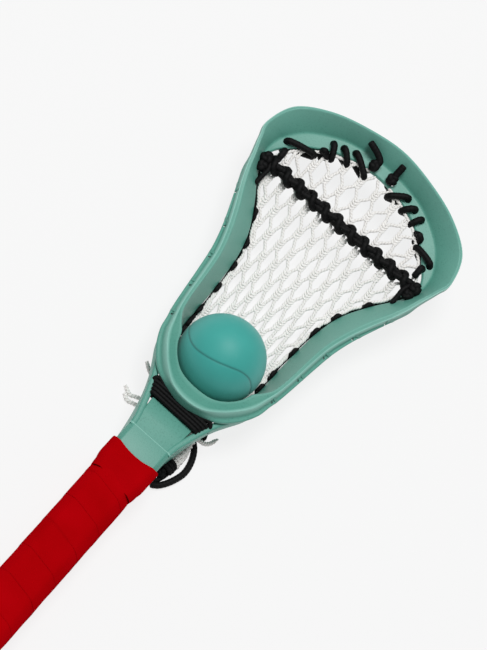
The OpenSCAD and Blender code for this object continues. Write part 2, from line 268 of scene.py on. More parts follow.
# ---- shader groups ----
def new_group(name, inputs, outputs):
    tree = bpy.data.node_groups.new(name, "ShaderNodeTree")
    for title, kind, value in inputs:
        socket = tree.interface.new_socket(title, in_out="INPUT", socket_type=kind)
        socket.default_value = value
    for title, kind in outputs:
        tree.interface.new_socket(title, in_out="OUTPUT", socket_type=kind)
    return tree, tree.nodes.new("NodeGroupInput"), tree.nodes.new("NodeGroupOutput")


def link(tree, a, b):
    tree.links.new(a, b)


def math_node(tree, kind, a, b=None):
    node = tree.nodes.new("ShaderNodeMath")
    node.operation = kind
    for socket, value in zip(node.inputs, (a, b)):
        if isinstance(value, (int, float)):
            socket.default_value = value
        elif value is not None:
            link(tree, value, socket)
    return node.outputs[0]


def mix_colour(tree, factor, a, b):
    node = tree.nodes.new("ShaderNodeMix")
    node.data_type = "RGBA"
    for socket, value in zip((node.inputs[0], node.inputs[6], node.inputs[7]), (factor, a, b)):
        if isinstance(value, (int, float, tuple)):
            socket.default_value = value
        else:
            link(tree, value, socket)
    return node.outputs[2]


def object_point(tree):
    return tree.nodes.new("ShaderNodeTexCoord").outputs["Object"]


def noise_node(tree, scale, detail=2, roughness=0.5, where=None):
    node = tree.nodes.new("ShaderNodeTexNoise")
    node.inputs["Detail"].default_value = detail
    node.inputs["Roughness"].default_value = roughness
    if isinstance(scale, (int, float)):
        node.inputs["Scale"].default_value = scale
    else:
        link(tree, scale, node.inputs["Scale"])
    link(tree, where or object_point(tree), node.inputs["Vector"])
    return node.outputs["Fac"]


def ramp(tree, value, low, high):
    """0 below low, 1 above high, and a slope between them."""
    node = tree.nodes.new("ShaderNodeMapRange")
    node.inputs["From Min"].default_value = low
    node.inputs["From Max"].default_value = high
    link(tree, value, node.inputs["Value"])
    return node.outputs["Result"]


def make_grain():
    """Fine moulded or fibrous grain: a bumped normal and a speckle mask."""
    tree, given, out = new_group(
        "fine grain",
        [("Scale", "NodeSocketFloat", 900), ("Depth", "NodeSocketFloat", 0.2),
         ("Distance", "NodeSocketFloat", 0.0003)],
        [("Speckle", "NodeSocketFloat"), ("Cloud", "NodeSocketFloat"), ("Normal", "NodeSocketVector")])
    fine = noise_node(tree, given.outputs["Scale"], 3, 0.6)
    broad = noise_node(tree, 26, 3, 0.55)
    bump = tree.nodes.new("ShaderNodeBump")
    link(tree, given.outputs["Depth"], bump.inputs["Strength"])
    link(tree, given.outputs["Distance"], bump.inputs["Distance"])
    link(tree, fine, bump.inputs["Height"])
    link(tree, ramp(tree, fine, 0.54, 0.66), out.inputs["Speckle"])
    link(tree, ramp(tree, broad, 0.3, 0.7), out.inputs["Cloud"])
    link(tree, bump.outputs["Normal"], out.inputs["Normal"])
    return tree


def make_edge_wear():
    """Mask of the rubbed outer edges."""
    tree, given, out = new_group(
        "edge wear", [("Patchiness", "NodeSocketFloat", 60)], [("Edge", "NodeSocketFloat")])
    point = tree.nodes.new("ShaderNodeNewGeometry").outputs["Pointiness"]
    edge = ramp(tree, point, 0.515, 0.60)
    patch = ramp(tree, noise_node(tree, given.outputs["Patchiness"], 4, 0.6), 0.35, 0.6)
    link(tree, math_node(tree, "MULTIPLY", edge, patch), out.inputs["Edge"])
    return tree


GRAIN = make_grain()
EDGE_WEAR = make_edge_wear()


def use_group(tree, group, **values):
    node = tree.nodes.new("ShaderNodeGroup")
    node.node_tree = group
    for title, value in values.items():
        node.inputs[title].default_value = value
    return node


def new_material(name, roughness, specular=0.5):
    material = bpy.data.materials.new(name)
    material.use_nodes = True
    tree = material.node_tree
    shader = tree.nodes["Principled BSDF"]
    shader.inputs["Roughness"].default_value = roughness
    shader.inputs["Specular IOR Level"].default_value = specular
    return material, tree, shader


def painted_light_of(tree):
    # The painted light value of each point: painted highlight or painted shade.
    node = tree.nodes.new("ShaderNodeAttribute")
    node.attribute_name = "painted_light"
    return node.outputs["Fac"]


# ---- materials ----
def make_head_plastic():
    material, tree, shader = new_material("sea green plastic", 0.43, 0.4)
    grain = use_group(tree, GRAIN, Scale=1000, Depth=0.3, Distance=0.0002)
    wear = use_group(tree, EDGE_WEAR, Patchiness=45)
    base = mix_colour(tree, grain.outputs["Cloud"], (0.098, 0.325, 0.258, 1), (0.108, 0.342, 0.272, 1))
    dotted = mix_colour(tree, math_node(tree, "MULTIPLY", grain.outputs["Speckle"], 0.45),
                        base, (0.05, 0.20, 0.155, 1))
    # Painted highlight: the rail's corners, the lip and the collar's end edge are mixed towards a pale green
    # by the painted light value, a little more where the edges are worn.
    highlight_and_wear = math_node(tree, "ADD", 0.7, math_node(tree, "MULTIPLY", wear.outputs["Edge"], 0.3))
    painted_highlight = math_node(tree, "MULTIPLY", highlight_and_wear, painted_light_of(tree))
    link(tree, mix_colour(tree, painted_highlight, dotted, (0.30, 0.60, 0.52, 1)), shader.inputs["Base Color"])
    link(tree, grain.outputs["Normal"], shader.inputs["Normal"])
    return material


def make_cord_cloth(name, dark, light, roughness, scale, sheen):
    """Cord of fine fibres, with painted shade in the hollows between its plies."""
    material, tree, shader = new_material(name, roughness, 0.15)
    shader.inputs["Sheen Weight"].default_value = sheen
    shader.inputs["Sheen Roughness"].default_value = 0.5
    grain = use_group(tree, GRAIN, Scale=scale, Depth=0.5, Distance=0.0003)
    # Painted shade: the dark colour goes in the hollows between the plies and the light colour on their
    # crests, varied a little by random blotches.
    ply = ramp(tree, painted_light_of(tree), 0.0, 0.75)
    ply_shade_and_blotches = math_node(tree, "MULTIPLY", ply, math_node(
        tree, "ADD", 0.8, math_node(tree, "MULTIPLY", grain.outputs["Cloud"], 0.2)))
    link(tree, mix_colour(tree, ply_shade_and_blotches, dark, light), shader.inputs["Base Color"])
    link(tree, grain.outputs["Normal"], shader.inputs["Normal"])
    return material


def make_tape_cloth():
    """Woven cotton tape: threads along and across the winding, with painted shade between the threads, at
    each lap's edge and inside the bore.
    """
    material, tree, shader = new_material("red cotton tape", 0.9, 0.0)
    shader.inputs["Sheen Weight"].default_value = 0.04
    shader.inputs["Sheen Tint"].default_value = (0.9, 0.0, 0.08, 1)
    grain = use_group(tree, GRAIN, Scale=700, Depth=0.3, Distance=0.0003)
    where = tree.nodes.new("ShaderNodeAttribute")
    where.attribute_name = "cloth"
    split = tree.nodes.new("ShaderNodeSeparateXYZ")
    link(tree, where.outputs["Vector"], split.inputs["Vector"])
    across = math_node(tree, "SINE", math_node(tree, "MULTIPLY", split.outputs["X"], TURN / 0.9))
    along = math_node(tree, "SINE", math_node(tree, "MULTIPLY", split.outputs["Y"], TURN / 0.9))
    threads = math_node(tree, "MULTIPLY", across, along)
    bump = tree.nodes.new("ShaderNodeBump")
    bump.inputs["Strength"].default_value = 0.35
    bump.inputs["Distance"].default_value = 0.0002
    link(tree, threads, bump.inputs["Height"])
    link(tree, grain.outputs["Normal"], bump.inputs["Normal"])
    worn = mix_colour(tree, grain.outputs["Cloud"], (0.40, 0.0006, 0.0022, 1), (0.50, 0.0008, 0.0040, 1))
    # Painted shade between the threads: their low parts get a darker red.
    shade = ramp(tree, threads, -1.4, 0.8)
    worn_with_thread_shade = mix_colour(tree, shade, (0.36, 0.0006, 0.002, 1), worn)
    # Painted shade where the painted light value is low: a little at each lap's edge, and deep inside the
    # bore.
    link(tree, mix_colour(tree, painted_light_of(tree), (0.20, 0.0006, 0.002, 1), worn_with_thread_shade), shader.inputs["Base Color"])
    link(tree, bump.outputs["Normal"], shader.inputs["Normal"])
    return material


def make_cap_rubber():
    material, tree, shader = new_material("black cap rubber", 0.68, 0.35)
    grain = use_group(tree, GRAIN, Scale=900, Depth=0.3, Distance=0.0003)
    wear = use_group(tree, EDGE_WEAR, Patchiness=80)
    base = mix_colour(tree, grain.outputs["Cloud"], (0.012, 0.012, 0.012, 1), (0.022, 0.022, 0.023, 1))
    link(tree, mix_colour(tree, wear.outputs["Edge"], base, (0.09, 0.09, 0.088, 1)),
         shader.inputs["Base Color"])
    link(tree, grain.outputs["Normal"], shader.inputs["Normal"])
    return material


def make_ball_rubber():
    material, tree, shader = new_material("teal ball rubber", 0.55, 0.3)
    shader.inputs["Sheen Weight"].default_value = 0.16
    shader.inputs["Sheen Roughness"].default_value = 0.6
    grain = use_group(tree, GRAIN, Scale=500, Depth=0.14, Distance=0.0003)
    base = mix_colour(tree, grain.outputs["Cloud"], (0.036, 0.340, 0.302, 1), (0.048, 0.388, 0.345, 1))
    scuff = ramp(tree, noise_node(tree, 120, 5, 0.7), 0.62, 0.75)
    scuffed = mix_colour(tree, math_node(tree, "MULTIPLY", scuff, 0.25), base, (0.10, 0.40, 0.36, 1))
    # Painted shade in the sunk seam: the seam is mixed towards a dark teal.
    link(tree, mix_colour(tree, painted_light_of(tree), (0.018, 0.17, 0.155, 1), scuffed), shader.inputs["Base Color"])
    link(tree, math_node(tree, "ADD", 0.42, math_node(tree, "MULTIPLY", grain.outputs["Cloud"], 0.12)),
         shader.inputs["Roughness"])
    link(tree, grain.outputs["Normal"], shader.inputs["Normal"])
    return material


def make_metal(name, dark, light, roughness, streaks):
    """Drawn or turned metal, with fine streaks and a little wear at its edges."""
    material, tree, shader = new_material(name, roughness, 0.5)
    shader.inputs["Metallic"].default_value = 1.0
    stretch = tree.nodes.new("ShaderNodeMapping")
    stretch.inputs["Scale"].default_value = streaks
    link(tree, object_point(tree), stretch.inputs["Vector"])
    streak = noise_node(tree, 400, 4, 0.6, stretch.outputs["Vector"])
    wear = use_group(tree, EDGE_WEAR, Patchiness=90)
    base = mix_colour(tree, streak, dark, light)
    link(tree, mix_colour(tree, wear.outputs["Edge"], base, (0.85, 0.85, 0.85, 1)),
         shader.inputs["Base Color"])
    link(tree, math_node(tree, "ADD", roughness - 0.06, math_node(tree, "MULTIPLY", streak, 0.12)),
         shader.inputs["Roughness"])
    return material


HEAD_PLASTIC = make_head_plastic()
# For each cord, the first colour is the painted shade in its hollows and the second is its own colour on the
# crests.
BLACK_STRING = make_cord_cloth("black braided nylon", (0.0015, 0.0015, 0.0015, 1),
                               (0.0055, 0.0055, 0.006, 1), 0.62, 2600, 0.0)
WHITE_CORD = make_cord_cloth("white knitted nylon", (0.68, 0.655, 0.62, 1),
                             (0.93, 0.92, 0.90, 1), 0.75, 2200, 0.0)
TAPE_CLOTH = make_tape_cloth()
CAP_RUBBER = make_cap_rubber()
BALL_RUBBER = make_ball_rubber()
SHAFT_METAL = make_metal("satin aluminium", (0.55, 0.56, 0.58, 1), (0.75, 0.76, 0.78, 1), 0.35, (6, 0.2, 6))
SCREW_STEEL = make_metal("zinc plated steel", (0.42, 0.42, 0.44, 1), (0.66, 0.66, 0.68, 1), 0.32, (3, 3, 1))


# ---- free ends of cord under the throat ----
LOOP = [[23, 57.5, 2.5], [27.4, 53, 2.5], [30.6, 47, 2.5], [32.6, 40, 2.5], [33, 33, 2.5],
        [31.4, 26, 2.5], [28.6, 19, 2.5], [25, 13.4, 2.5], [20.6, 10, 2.5]]
STUB = [[3, 68.6, 2.3], [9, 71.6, 2.3], [15, 73, 2.3], [20.6, 72.2, 2.3], [25, 69.4, 2.3],
        [27, 65.6, 2.3], [26.9, 62.8, 2.3]]
TAIL_UPPER = [[-8, 70, 1.6], [-14, 73, 1.6], [-20, 75.6, 1.6], [-26, 75, 1.6], [-31, 76, 1.6],
              [-36, 79.6, 1.6]]
TAIL_MIDDLE = [[-7, 57, 1.6], [-12, 56, 1.6], [-17, 54.4, 1.6], [-22, 55.6, 1.6], [-26.6, 54, 1.6],
               [-31, 52.2, 1.6], [-36, 54.6, 1.6]]
TAIL_LOWER = [[-3, 51, 1.6], [-8, 50, 1.6], [-14, 49, 1.6], [-20, 50, 1.6], [-25, 48.8, 1.6],
              [-29.4, 47.6, 1.6], [-33, 49.4, 1.6]]
TAIL_RIGHT = [[14, 51, 1.6], [20, 55, 6.4], [25.4, 58.4, 6.6], [30, 61, 3.4], [33, 65, 1.6],
              [34.6, 70, 1.6]]
STRING_D = 4.4
LOOP_D = 5
TAIL_D = 3


def fray(shape, line, diameter):
    """The plies of a cut end, spread a little."""
    hairs = 7
    end, ahead = line[-1], (line[-1] - line[-4]).normalized()
    for i in range(hairs):
        turn = TURN * i / hairs + 0.4
        side = ahead.orthogonal().normalized() * math.cos(turn) + Vector((0, 0, 1)) * math.sin(turn)
        tip = end + ahead * 1.6 + side * diameter * 0.34
        tip.z = max(tip.z, 0.5)
        root = end - ahead * 1.5 + side * diameter * 0.2
        hair = smooth([root, end + side * diameter * 0.26, tip], 4)
        sweep(shape, even(hair, 0.5), plain(0.8), 5)


def free_cord(name, route, diameter, outline, material, slot, far_end="bare"):
    shape = Shape()
    line = even(smooth(route, 12), 0.45)
    sweep(shape, line, outline, 20)
    if far_end == "bare":
        fray(shape, line, diameter)
    cord = shape.build(name + "_cord", material, slot, name)


free_cord("bottom_string_loop", LOOP, LOOP_D, braided(LOOP_D), BLACK_STRING, "black_string", "object")
free_cord("bottom_string_stub", STUB, STRING_D, braided(STRING_D), BLACK_STRING, "black_string")
for title, tail in (("upper", TAIL_UPPER), ("middle", TAIL_MIDDLE), ("lower", TAIL_LOWER),
                    ("right", TAIL_RIGHT)):
    free_cord("mesh_tail_" + title, tail, TAIL_D, two_ply(TAIL_D * 1.1), WHITE_CORD, "mesh_cord")

# ---- the head ----
# Key lines of the right half, from the ball stop to the middle of the scoop. Each row: foot
# where the net meets the plastic, inner corner of the flange, top inner edge, top outer edge,
# outer lip, and the height of the underside.
HEAD = [
    [(0, 73.5, 7.6), (0, 72.5, 12), (0, 69.2, 41), (0, 54, 46), (0, 52.8, 37.5), 5],
    [(9.6, 75.2, 7.6), (9.8, 74.2, 12), (13.2, 71, 41), (13, 56.6, 46), (13.6, 55.2, 37.5), 5],
    [(18, 80.6, 7.8), (18.6, 79.8, 12), (22.6, 77.2, 41.2), (24, 65, 45.6), (27.8, 62, 37.2), 5],
    [(24, 89.2, 8), (24.8, 88.6, 12.4), (29.3, 85.8, 41.6), (33.6, 76.4, 45), (38.6, 74, 37.2), 4.8],
    [(29, 97, 8.6), (29.6, 96.6, 13), (32.7, 94.6, 41.8), (39.6, 86.6, 44), (45, 87, 37), 3.6],
    [(32.4, 103, 9.4), (32.8, 103, 14), (37, 100, 42), (42.6, 97, 43.4), (47.2, 98.6, 36.4), 1.4],
    [(34.2, 110, 10), (34.6, 110, 14.5), (41.6, 107.5, 42.2), (44.9, 107, 42.8), (49.1, 108, 36), 0],
    [(35, 122, 11), (35.4, 122, 15), (44.2, 121, 41.6), (47.1, 122, 41.6), (51, 123, 35.6), 0],
    [(35.4, 145, 12), (35.8, 145, 16), (46.2, 144, 41), (49.3, 144, 40.8), (53.5, 145, 35), 0],
    [(36.6, 165, 13), (37, 165, 17), (48.6, 163, 40.4), (51.9, 163, 40.2), (56.3, 165, 34.4), 0],
    [(38.6, 184, 14), (39.2, 184, 18), (53.4, 181, 40), (56.7, 180, 39.8), (61.1, 184, 34), 1],
    [(43.8, 203, 16), (44.6, 203, 20), (60.2, 199, 40.6), (63.7, 198, 40.4), (67.7, 203, 34), 4],
    [(54.6, 222, 20.5), (55.6, 222, 24), (67.8, 215, 42), (70.9, 214, 41.8), (73.5, 218, 35), 9],
    [(65, 236, 25.5), (66, 236.5, 28), (73, 227, 44), (75.7, 226, 43.8), (77.5, 228, 37), 15],
    [(72, 249, 30.5), (73.4, 250, 31.5), (76.8, 238, 46), (79.1, 237, 45.8), (79.7, 238, 40), 22],
    [(69.4, 258.5, 33), (74.2, 260, 33.6), (81.6, 251, 48.4), (83.6, 250.4, 48), (83.9, 251, 44), 28],
    [(63.9, 266, 34.4), (70.8, 271, 35.4), (84.6, 263, 50.4), (86.4, 263, 50), (86.5, 263.4, 46), 31],
    [(54, 276.4, 35.6), (60.8, 284.6, 36.8), (77, 284, 52.4), (78.9, 285.4, 52), (78.7, 285.2, 48), 32],
    [(40, 286, 36.8), (44.9, 295.8, 38), (56.3, 299.6, 54.2), (57.4, 301.2, 53.8), (57.2, 301, 50), 33.4],
    [(24, 292.6, 38), (27.6, 302.6, 39), (30, 309, 55), (30.4, 310.8, 54.6), (30.2, 310.6, 51), 34.6],
    [(0, 295.5, 39), (0, 305.3, 40), (0, 313.8, 55.4), (0, 315.6, 55), (0, 315.4, 51.4), 35.6]]
FLANGE_T = 3.4
FOOT_W = 6
HEAD_STEPS = 10
UP = Vector((0, 0, 1))


def flip(p):
    return Vector((-p[0], p[1], p[2]))


def smooth_half(points, steps):
    """A smooth line that meets its mirror image squarely at both ends."""
    return smooth(points, steps, flip(points[1]), flip(points[-2]))


FOOT, CORNER, INNER, OUTER, LIP = (
    smooth_half([row[k] for row in HEAD], HEAD_STEPS) for k in range(5))
UNDER = [max(0, p.x) for p in smooth([(row[5], 0, 0) for row in HEAD], HEAD_STEPS)]
STATIONS = len(FOOT)


def at_height(p, z):
    return Vector((p.x, p.y, z))


def outward(i):
    """Level direction away from the pocket."""
    if i in (0, STATIONS - 1):
        return Vector((0, -1 if i == 0 else 1, 0))
    t = FOOT[i + 1] - FOOT[i - 1]
    return Vector((t.y, -t.x, 0)).normalized()


def head_section(i):
    """One section: foot, inner wall, rounded rail, groove, lip and outer wall."""
    out, foot, corner = outward(i), FOOT[i], CORNER[i]
    inner, outer, lip, under = INNER[i], OUTER[i], LIP[i], UNDER[i]
    apart = Vector((lip.x - outer.x, lip.y - outer.y)).length
    groove = outer * 0.55 + lip * 0.45 - UP * 2.6 * clamp((apart - 2) / 3)
    return rounded([
        (at_height(foot, max(under, foot.z - FLANGE_T)), 1.0),
        (foot, 1.1),
        (corner, 1.6),
        (inner, 1.3),
        ((inner + outer) / 2 - UP * 0.4, 3),
        (outer, 1.0),
        (groove, 1.2),
        (lip + UP * 1.2, 0.9),
        (lip - UP * 1.2, 0.9),
        (inner * 0.75 + foot * 0.25 + out * 4.4 - UP, 4),
        (corner + out * (FOOT_W - 1), 3),
        (at_height(corner + out * FOOT_W, under), 1.6)])


def rim_highlights(i):
    """How strongly each point of a section gets the painted highlight: most at the rail's outer corner."""
    width = (OUTER[i] - INNER[i]).length
    by_corner = [0] * 12
    by_corner[3], by_corner[4], by_corner[5] = 0.4, max(0.0, 0.7 - width / 6), 0.9
    return [painted_light for painted_light in by_corner for _ in range(4)]


def rim(shape):
    right = [head_section(i) for i in range(STATIONS)]
    left = [sided(head_section(i), -1) for i in range(STATIONS - 2, 0, -1)]
    loft(shape, right + left, round_trip=True)
    order = list(range(STATIONS)) + list(range(STATIONS - 2, 0, -1))
    shape.painted_lights = [painted_light for i in order for painted_light in rim_highlights(i)]


ARM = [(15.7, 19, 4), (16.6, 26, 6), (18.6, 34, 16), (22.4, 47, 24), (27, 60, 25),
       (32.4, 71, 25), (37.4, 81, 24), (40.2, 88, 26)]
ARM_W = 4.6
ARM_TOP = 35


def arm(shape, side):
    line = smooth(ARM, 6)
    rings = []
    for i, p in enumerate(line):
        ahead = line[min(i + 1, len(line) - 1)] - line[max(i - 1, 0)]
        across = Vector((ahead.y, -ahead.x, 0)).normalized() * (ARM_W / 2)
        base, top = Vector((p.x, p.y, p.z)), Vector((p.x, p.y, ARM_TOP))
        ring = rounded([(base - across, 1), (base + across, 1), (top + across, 1.5), (top - across, 1.5)])
        rings.append(sided(ring, side))
    loft(shape, rings if side > 0 else rings[::-1])


def box_ring(y, half, low, high, radius):
    return rounded([(Vector((-half, y, low)), radius), (Vector((half, y, low)), radius),
                    (Vector((half, y, high)), radius), (Vector((-half, y, high)), radius)])


def keel(shape):
    loft(shape, [box_ring(*row) for row in (
        (18, 15.5, 4, 8, 1), (24, 15.4, 4.1, 8.2, 1), (40, 14.2, 4.8, 9, 1), (60, 12.4, 5.8, 9.8, 1),
        (76, 12, 6, 10, 1))][::-1])
    for side in (-1, 1):
        rings = []
        for y, x, low, high in ((18, 12.5, 6, 28), (28, 11.6, 6.4, 24), (44, 10, 7, 19), (58, 10, 7, 16),
                                (69, 10, 7, 14)):
            rings.append([p + Vector((side * x, 0, 0)) for p in box_ring(y, 1.4, low, high, 0.8)])
        loft(shape, rings[::-1])


def eight_sided(width, height, corner, radius):
    """Corners of an eight-sided section about the shaft's axis, at y = 0."""
    w, h, c = width / 2, height / 2, corner
    plan = [(-w + c, -h), (w - c, -h), (w, -h + c), (w, h - c),
            (w - c, h), (-w + c, h), (-w, h - c), (-w, -h + c)]
    return rounded([(Vector((x, 0, z + AXIS_Z)), radius) for x, z in plan])


def moved(ring, y):
    return [Vector((p.x, y, p.z)) for p in ring]


SOCKET_W, SOCKET_H = 36, 32
BORE_W, BORE_H = 31.2, 27.2


def socket(shape):
    outer, mouth = eight_sided(SOCKET_W, SOCKET_H, 3, 1), eight_sided(SOCKET_W - 0.8, SOCKET_H - 0.8, 3, 1)
    bore = eight_sided(BORE_W, BORE_H, 7, 1)
    rings = [moved(bore, 18), moved(bore, -13), moved(mouth, -13), moved(outer, -12.2), moved(outer, 18.9),
             moved(outer, 19.5), moved(mouth, 20)]
    loft(shape, rings[::-1])


TONGUE_TOP = AXIS_Z + SOCKET_H / 2 - 1.4


def tongue(shape):
    low = TONGUE_TOP - 3
    loft(shape, [box_ring(*row) for row in (
        (18.8, 16.2, low, TONGUE_TOP, 0.6), (32, 16.8, low, TONGUE_TOP - 0.05, 0.7),
        (44.8, 17.6, low, TONGUE_TOP, 0.7), (45.6, 17.4, low + 0.4, TONGUE_TOP - 0.5, 0.5))][::-1])


RIB_Y = (104, 132, 160, 186, 212)
FLANGE_HOLE = [(67, 270), (41, 292), (33, 294.8), (24.4, 297.8), (8, 299)]
RAIL_HOLE_KEYS = (5.5, 7.2, 8.6, 9.8, 10.9, 11.9, 13)


def nearest_station(line, y):
    """The sidewall's station at y."""
    return min(range(4 * HEAD_STEPS, 15 * HEAD_STEPS), key=lambda i: abs(line[i].y - y))


def peg(shape, low, high, radius, sides=14):
    """A short round bar between two points."""
    ahead = (high - low).normalized()
    side = ahead.orthogonal().normalized()
    other = ahead.cross(side)
    rings = []
    for p in (low, high):
        rings.append([p + side * (math.cos(TURN * s / sides) * radius)
                      + other * (math.sin(TURN * s / sides) * radius) for s in range(sides)])
    loft(shape, rings)


def groove_ribs(shape):
    """Cross ribs in the groove between the rail and the lip."""
    for side in (-1, 1):
        for y in RIB_Y:
            i = nearest_station(OUTER, y)
            ahead = (OUTER[i + 1] - OUTER[i - 1]).normalized()
            inner, outer = OUTER[i] - UP * 0.9, LIP[i] + UP * 0.7
            rings = []
            for along in (-1.0, 1.0):
                shift = ahead * along
                ring = rounded([(inner - UP * 3.4 + shift, 0.4), (inner + shift, 0.6),
                                (outer + shift, 0.6), (outer - UP * 2.6 + shift, 0.4)])
                rings.append(sided(ring, side))
            loft(shape, rings if side > 0 else rings[::-1])


def head_cuts():
    """Everything that is drilled through the rim, as one cutter."""
    shape = Shape()
    for side in (-1, 1):
        for x, y in FLANGE_HOLE:
            peg(shape, *sided([(x, y, 26), (x, y, 46)], side), 2.5)
        for key in RAIL_HOLE_KEYS:
            i = round(key * HEAD_STEPS)
            p, out = FOOT[i], outward(i)
            ends = [p - out * 4 + UP * -2.2, p + out * 10 + UP * -2.2]
            peg(shape, *sided(ends, side), 1.8)
        for y in RIB_Y:
            i = nearest_station(OUTER, y - 3.6)
            middle = OUTER[i] * 0.5 + LIP[i] * 0.5
            peg(shape, *sided([middle - UP * 7, middle + UP * 3], side), 0.9, 10)
    mesh = bpy.data.meshes.new("head_cuts")
    mesh.from_pydata([place(p) for p in shape.points], [], shape.faces)
    return add_object("head_cuts", mesh)


def applied(piece):
    """The piece's mesh with its modifiers made real."""
    mesh = bpy.data.meshes.new_from_object(piece.evaluated_get(bpy.context.evaluated_depsgraph_get()))
    piece.modifiers.clear()
    piece.data = mesh


def add_head():
    shape = Shape()
    rim(shape)
    head = shape.build("head", HEAD_PLASTIC, "head_plastic")
    cutter = head_cuts()
    drill = head.modifiers.new("drill", "BOOLEAN")
    drill.operation = "DIFFERENCE"
    drill.solver = "EXACT"
    drill.object = cutter
    applied(head)
    bpy.data.objects.remove(cutter)
    rest = Shape()
    arm(rest, -1)
    arm(rest, 1)
    keel(rest)
    socket(rest)
    tongue(rest)
    groove_ribs(rest)
    # Painted highlight along the top of the collar's end edge.
    rest.painted_lights = [0.9 if 19.4 < p.y < 20.1 and p.z > 30 else 0.0 for p in rest.points]
    rest.build("head_throat", HEAD_PLASTIC, "head_plastic", sharp=38)
    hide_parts("head_frame")
    head.data.set_sharp_from_angle(angle=math.radians(38))


add_head()

# ---- the net ----
# Half width, height of the edge and height of the middle of the net along the head.
MESH = [[64, 14, 4.2, 3.8], [72, 17, 4.2, 3.2], [80, 20, 4.2, 2.6], [88, 23, 4.4, 2.3],
        [96, 27, 5.4, 2.2], [103, 31, 7.8, 2.2], [111, 33, 9.4, 2.4], [124, 34, 10.4, 3],
        [145, 34.2, 11.4, 5], [165, 35.4, 12.4, 8.4], [184, 37.4, 13.6, 12], [203, 42.2, 15.6, 15.6],
        [222, 52.8, 20, 19.6], [236, 63, 25, 23.6], [248, 70, 29.6, 27.6], [258, 66.6, 32.6, 30.4],
        [266, 61.6, 34.2, 32.4], [276, 52, 35.4, 34.6], [285, 39.4, 36.6, 36], [292, 22, 38, 37.6],
        [295.4, 6, 38.6, 38.4]]
# Distance between columns, and how far the middle column is off centre.
COLUMNS = [[64, 3.6, 0], [80, 5.2, 0], [100, 7.2, 0], [130, 8.2, 0], [160, 9, 0], [180, 9.8, 0],
           [205, 10.6, -0.6], [240, 11.4, -2], [256, 12.2, -2.3], [270, 13.3, -2.3], [284, 14.6, -2.3],
           [300, 15.4, -2.3]]
ROWS = [66, 80, 94, 109, 124, 139, 154, 169, 184, 198.5, 213, 227.5, 241.5, 255.5, 269.5, 284, 298]
NET_SPLIT = 9
NET_SEED = 3
CORD_D = 2.5
RIDGE_D = 1.45


def net_point(x, y, lift=0.0):
    half, edge, middle = table(MESH, y)
    top = middle + (edge - middle) * min(abs(x) / half, 1.1) ** 2
    return Vector((x, y, max(top - 0.8, CORD_D / 2 + 0.1) + lift))


def in_net(p):
    return p[1] < 295 and abs(p[0]) < table(MESH, p[1])[0] - 0.6


def crossing(row, column):
    """Where two cords of the net are knitted together."""
    pitch, shift = table(COLUMNS, ROWS[row])
    rng = random.Random(1000 * row + 10 * column + NET_SEED)
    x = (column + (0.0 if row % 2 == 0 else 0.5)) * pitch + shift * (1 if ROWS[row] > 190 else 0)
    return x + rng.uniform(-0.5, 0.5), ROWS[row] + rng.uniform(-0.9, 0.9)


def net_cord(shape, a, b, lean):
    """One cord between two crossings, leaving and arriving along the head."""
    off, knit = 1.35, 3.4
    points = []
    steps = 24
    for k in range(steps + 1):
        y = a[1] + (b[1] - a[1]) * k / steps
        t = clamp((y - a[1] - knit) / (b[1] - a[1] - 2 * knit))
        t = t * t * (3 - 2 * t)
        x = (a[0] + lean * off) * (1 - t) + (b[0] - lean * off) * t
        if in_net((x, y)):
            points.append(net_point(x, y, 0.25 * math.sin(math.pi * k / steps)))
    if len(points) > 4:
        sweep(shape, even(points, 0.6), two_ply(CORD_D, 4.6, 0.62), 8, 0.85, start=a[0])


def knit_ridges(shape, at):
    """The nested loops of a crossing."""
    for k in range(4):
        y = at[1] + (k - 1.5) * 2.25
        plan = [(-2.5, 1.9), (-1.9, 0.1), (0, -1.1), (1.9, 0.1), (2.5, 1.9)]
        lift = [-0.3, 0.5, 0.8, 0.5, -0.3]
        points = []
        for (dx, dy), up in zip(plan, lift):
            if in_net((at[0] + dx, y + dy)):
                points.append(net_point(at[0] + dx, y + dy, up))
        if len(points) == 5:
            sweep(shape, even(smooth(points, 4), 0.7), plain(RIDGE_D), 7)


def add_net():
    parts = (Shape(), Shape())
    reach = 9
    for row in range(len(ROWS)):
        part = parts[0 if row < NET_SPLIT else 1]
        for column in range(-reach, reach + 1):
            here = crossing(row, column)
            knit_ridges(part, here)
            if row + 1 < len(ROWS):
                left = column - 1 if row % 2 == 0 else column
                net_cord(part, here, crossing(row + 1, left), -1)
                net_cord(part, here, crossing(row + 1, left + 1), 1)
    for side in (-1, 1):
        for low, high, part in ((66, 190, parts[0]), (190, 294.6, parts[1])):
            count = int((high - low) / 2)
            edge = []
            for k in range(count + 1):
                y = low + (high - low) * k / count
                edge.append(net_point(side * (table(MESH, y)[0] - 1.4 + 0.5 * math.sin(k)), y, 0.5))
            sweep(part, even(smooth(edge, 2), 0.6), two_ply(CORD_D, 4.6), 8)
    parts[0].build("net_lower", WHITE_CORD, "mesh_cord", "mesh_pocket", sharp=70)
    parts[1].build("net_upper", WHITE_CORD, "mesh_cord", sharp=70)


add_net()


